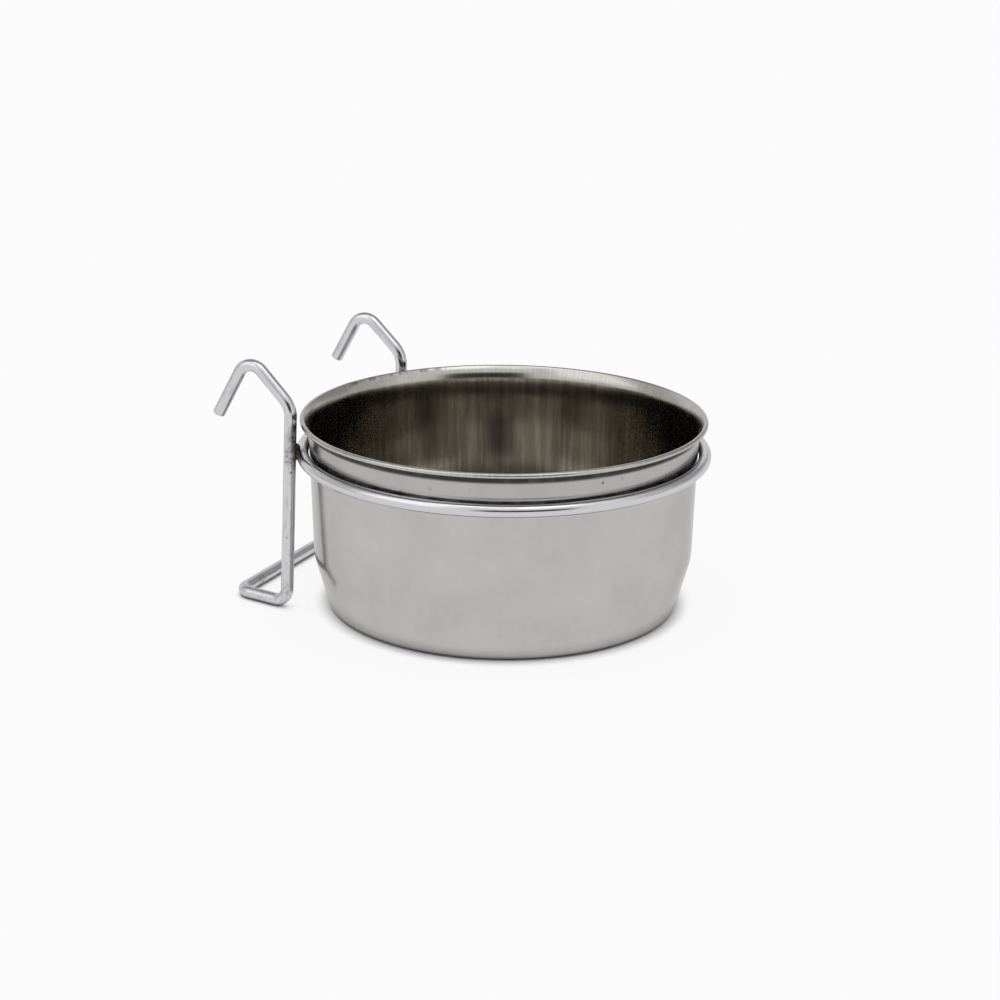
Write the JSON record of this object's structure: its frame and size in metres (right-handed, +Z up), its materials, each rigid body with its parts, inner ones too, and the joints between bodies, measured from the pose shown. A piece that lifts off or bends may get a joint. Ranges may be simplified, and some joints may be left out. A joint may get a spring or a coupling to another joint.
{
  "type": "seed cup",
  "caption": "Round stainless steel seed cup with a rolled rim that drops into a wire ring, on a bent wire hanger whose hooks hang over a cage bar.",
  "frame": {"origin": "centre of the underside of the cup's base, on the surface that the cup and the hanger's feet stand on", "axes": "+Z up along the cup's axis, +Y from the cup towards the hooks, X along the hanger's crossbar"},
  "size_m": [0.1326, 0.1505, 0.0808],
  "materials": {
    "cup_steel": "satin drawn stainless steel with faint vertical draw marks",
    "chromed_wire": "bright chrome plate with a few small pits",
    "weld_metal": "dull, rough weld metal stained brown"
  },
  "bodies": {
    "holder": {"ring": "chromed_wire", "hanger": "chromed_wire", "welds": "weld_metal"},
    "cup": {"cup": "cup_steel"}
  },
  "joints": [
    {"name": "cup_lift", "type": "slide", "parent": "holder", "child": "cup", "axis": [0, 0, 1], "range_m": [0, 0.06]}
  ]
}
